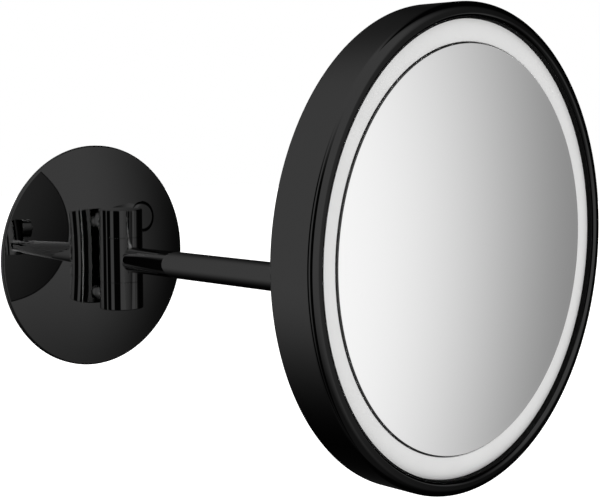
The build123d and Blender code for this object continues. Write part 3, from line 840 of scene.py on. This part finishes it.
class MIRROR_OT_stage(bpy.types.Operator):
    """Set up the pale floor, the soft light and the camera"""

    bl_idname = "mirror.stage"
    bl_label = "Stage"

    def execute(self, context):
        settings = context.scene.mirror_studio
        self.camera(context.scene, settings)
        self.surroundings(context.scene)
        self.floor(context.scene, settings)
        self.card(context.scene)
        self.key(context.scene, settings)
        context.scene.view_settings.view_transform = "Standard"
        return {"FINISHED"}

    def camera(self, scene, settings):
        """The camera at the photograph's angle."""
        data = bpy.data.cameras.new("camera")
        data.lens = settings.lens
        data.sensor_width = SENSOR_WIDTH
        eye = bpy.data.objects.new("camera", data)
        scene.collection.objects.link(eye)
        eye.location = settings.camera_place
        eye.rotation_euler = (math.pi / 2 - settings.camera_elevation, 0, settings.camera_azimuth)
        scene.camera = eye

    def surroundings(self, scene):
        """A white backdrop, and a studio that only glossy surfaces show."""
        world = bpy.data.worlds.new("studio")
        scene.world = world
        world.use_nodes = True
        tree = world.node_tree
        tree.nodes.clear()
        around, height = self.directions(tree)
        light = self.studio_light(tree, around, height)
        path = add(tree, "ShaderNodeLightPath")
        gain = self.made_up(tree, path, around)
        mirrored = add(
            tree, "ShaderNodeMath", None, {0: light.outputs[0], 1: gain.outputs[0]}, operation="MULTIPLY"
        )
        even = add(
            tree, "ShaderNodeMix", {"A": BACKDROP_LIGHT, "B": ROOM_LIGHT},
            {"Factor": path.outputs["Is Diffuse Ray"]},
        )
        shown = add(
            tree, "ShaderNodeMix", None,
            {"Factor": path.outputs["Is Glossy Ray"], "A": even.outputs[0], "B": mirrored.outputs[0]},
        )
        glow = add(tree, "ShaderNodeBackground", {"Color": WHITE}, {"Strength": shown.outputs[0]})
        add(tree, "ShaderNodeOutputWorld", links={"Surface": glow.outputs[0]})

    def directions(self, tree):
        """The bearing and the height of what a ray meets, in radians."""
        place = add(tree, "ShaderNodeTexCoord")
        axes = add(tree, "ShaderNodeSeparateXYZ", links={"Vector": place.outputs["Generated"]})
        front = add(tree, "ShaderNodeMath", {1: -1.0}, {0: axes.outputs["Y"]}, operation="MULTIPLY")
        bearing = add(
            tree, "ShaderNodeMath", None, {0: axes.outputs["X"], 1: front.outputs[0]},
            operation="ARCTAN2",
        )
        shifted = add(
            tree, "ShaderNodeMath", {1: math.radians(-FIRST_BEARING)}, {0: bearing.outputs[0]},
            operation="ADD",
        )
        around = add(
            tree, "ShaderNodeMath", {1: math.pi, 2: -math.pi}, {0: shifted.outputs[0]}, operation="WRAP"
        )
        height = add(tree, "ShaderNodeMath", None, {0: axes.outputs["Z"]}, operation="ARCSINE")
        return around, height

    def studio_light(self, tree, around, height):
        """White to the front and left but for two dark screens, dark to the right, behind and below."""
        overhead = add(
            tree, "ShaderNodeMath", {1: OVERHEAD_LEAN}, {0: height.outputs[0], 2: around.outputs[0]},
            operation="MULTIPLY_ADD",
        )
        low = add(
            tree, "ShaderNodeMath", {1: LOW_LEAN}, {0: around.outputs[0], 2: height.outputs[0]},
            operation="MULTIPLY_ADD",
        )
        light = self.fade(tree, around, RIGHT_END)
        shares = [self.fade(tree, overhead, BACK_END), self.fade(tree, low, LOW_END, LIGHT_BELOW)]
        shares += [self.beside_screen(tree, around, height, *sides) for sides in SCREENS]
        for share in shares:
            light = add(
                tree, "ShaderNodeMath", None, {0: light.outputs[0], 1: share.outputs[0]},
                operation="MULTIPLY",
            )
        return add(tree, "ShaderNodeMath", {1: LEAST_LIGHT}, {0: light.outputs[0]}, operation="ADD")

    def beside_screen(self, tree, around, height, left, right):
        """The share of light that a dark screen between two bearings lets by."""
        tall = self.fade(tree, height, SCREEN_TOP)
        start = self.fade(tree, around, (left - SCREEN_BLUR, left + SCREEN_BLUR))
        stop = self.fade(tree, around, (right + SCREEN_BLUR, right - SCREEN_BLUR))
        screen = add(
            tree, "ShaderNodeMath", None, {0: start.outputs[0], 1: stop.outputs[0]}, operation="MULTIPLY"
        )
        ended = add(
            tree, "ShaderNodeMath", None, {0: screen.outputs[0], 1: tall.outputs[0]}, operation="MULTIPLY"
        )
        return add(tree, "ShaderNodeMath", {0: 1.0}, {1: ended.outputs[0]}, operation="SUBTRACT")

    def made_up(self, tree, path, around):
        """How much brighter the studio is in later reflections, for what black plating swallows."""
        later = add(
            tree, "ShaderNodeMath", {1: 1.0}, {0: path.outputs["Glossy Depth"]}, operation="SUBTRACT"
        )
        bounces = add(
            tree, "ShaderNodeClamp", {"Min": 0.0, "Max": MOST_MADE_UP}, {"Value": later.outputs[0]}
        )
        glancing = self.fade(tree, around, GLANCING, 1.0, GLANCING_SHARE)
        straight = self.fade(tree, around, BEHIND, *MADE_UP)
        once = add(
            tree, "ShaderNodeMath", None, {0: glancing.outputs[0], 1: straight.outputs[0]},
            operation="MULTIPLY",
        )
        return add(
            tree, "ShaderNodeMath", None, {0: once.outputs[0], 1: bounces.outputs[0]}, operation="POWER"
        )

    def fade(self, tree, angle, ends, first=0.0, last=1.0):
        """A soft change from one value to another between two angles in degrees."""
        start, stop = ends
        return add(
            tree, "ShaderNodeMapRange",
            {
                "From Min": math.radians(start),
                "From Max": math.radians(stop),
                "To Min": first,
                "To Max": last,
            },
            {"Value": angle.outputs[0]}, interpolation_type="SMOOTHSTEP",
        )

    def floor(self, scene, settings):
        """The pale floor."""
        form = bmesh.new()
        bmesh.ops.create_grid(form, x_segments=1, y_segments=1, size=FLOOR_REACH)
        bmesh.ops.translate(form, vec=(0, 0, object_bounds()[0].z - settings.floor_drop), verts=form.verts)
        mesh = bpy.data.meshes.new("floor")
        form.to_mesh(mesh)
        form.free()
        floor = bpy.data.objects.new("floor", mesh)
        scene.collection.objects.link(floor)
        floor.visible_glossy = False
        material, tree = empty_material("white_floor")
        paint = add(
            tree, "ShaderNodeBsdfPrincipled",
            {
                "Base Color": linear("#f4f4f2"),
                "Roughness": 0.6,
                "Emission Color": WHITE,
                "Emission Strength": 0.8,
            },
        )
        add(tree, "ShaderNodeOutputMaterial", links={"Surface": paint.outputs[0]})
        mesh.materials.append(material)
        floor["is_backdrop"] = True

    def card(self, scene):
        """A shaded card on the right, which the mirror shows as a soft change from white to grey."""
        form = bmesh.new()
        bmesh.ops.create_grid(form, x_segments=1, y_segments=1, size=1.0)
        bmesh.ops.scale(form, vec=(*CARD_HALF, 1), verts=form.verts)
        bmesh.ops.rotate(
            form, cent=(0, 0, 0), matrix=Matrix.Rotation(math.radians(90), 3, "Y"), verts=form.verts
        )
        bmesh.ops.translate(form, vec=CARD_PLACE, verts=form.verts)
        mesh = bpy.data.meshes.new("card")
        form.to_mesh(mesh)
        form.free()
        card = bpy.data.objects.new("card", mesh)
        scene.collection.objects.link(card)
        for rays in ("camera", "diffuse", "transmission", "volume_scatter", "shadow"):
            setattr(card, "visible_" + rays, False)
        material, tree = empty_material("shaded_card")
        place = add(tree, "ShaderNodeTexCoord")
        along = add(
            tree, "ShaderNodeVectorMath", {1: (0, 1, CARD_SLANT)}, {0: place.outputs["Object"]},
            operation="DOT_PRODUCT",
        )
        shade = add(
            tree, "ShaderNodeMapRange",
            {"From Min": CARD_WHITE_AT, "From Max": CARD_GREY_AT, "To Min": 1.0, "To Max": CARD_GREY},
            {"Value": along.outputs["Value"]}, interpolation_type="SMOOTHSTEP",
        )
        glow = add(tree, "ShaderNodeEmission", {"Color": WHITE}, {"Strength": shade.outputs[0]})
        add(tree, "ShaderNodeOutputMaterial", links={"Surface": glow.outputs[0]})
        mesh.materials.append(material)
        card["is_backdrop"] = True

    def key(self, scene, settings):
        """A soft light from the upper left front."""
        data = bpy.data.lights.new("key", "SUN")
        data.energy = settings.key_strength
        data.angle = KEY_SPREAD
        lamp = bpy.data.objects.new("key", data)
        scene.collection.objects.link(lamp)
        lamp.rotation_euler = KEY_TURN
        lamp.visible_glossy = False


# Panel and registration


OPERATORS = (
    MIRROR_OT_finishes,
    MIRROR_OT_head_ring,
    MIRROR_OT_shadow_gasket,
    MIRROR_OT_light_ring,
    MIRROR_OT_glass,
    MIRROR_OT_arm,
    MIRROR_OT_stage,
)
SETTINGS = {
    "mirror_head": HeadSettings,
    "mirror_arm": ArmSettings,
    "mirror_finishes": FinishSettings,
    "mirror_studio": StudioSettings,
}


class MIRROR_PT_pieces(bpy.types.Panel):
    """The mirror's pieces and the sizes and colours that they are made from"""

    bl_idname = "MIRROR_PT_pieces"
    bl_label = "Lit mirror"
    bl_space_type = "VIEW_3D"
    bl_region_type = "UI"
    bl_category = "Mirror"

    def draw(self, context):
        for kind in OPERATORS:
            self.layout.operator(kind.bl_idname)
        for place, kind in SETTINGS.items():
            box = self.layout.box()
            for name in kind.__annotations__:
                box.prop(getattr(context.scene, place), name)


def register():
    """Register the classes and hang the settings on the scene."""
    for kind in (*SETTINGS.values(), *OPERATORS, MIRROR_PT_pieces):
        bpy.utils.register_class(kind)
    for place, kind in SETTINGS.items():
        setattr(bpy.types.Scene, place, PointerProperty(type=kind))


def unregister():
    """Undo what register did."""
    for place in SETTINGS:
        delattr(bpy.types.Scene, place)
    for kind in (MIRROR_PT_pieces, *OPERATORS, *SETTINGS.values()):
        bpy.utils.unregister_class(kind)


def main():
    """Make every piece in order."""
    register()
    bpy.ops.mirror.finishes()
    bpy.ops.mirror.head_ring()
    bpy.ops.mirror.light_gasket()
    bpy.ops.mirror.light_ring()
    bpy.ops.mirror.glass()
    bpy.ops.mirror.arm()
    bpy.ops.mirror.stage()


if __name__ == "__main__":
    main()
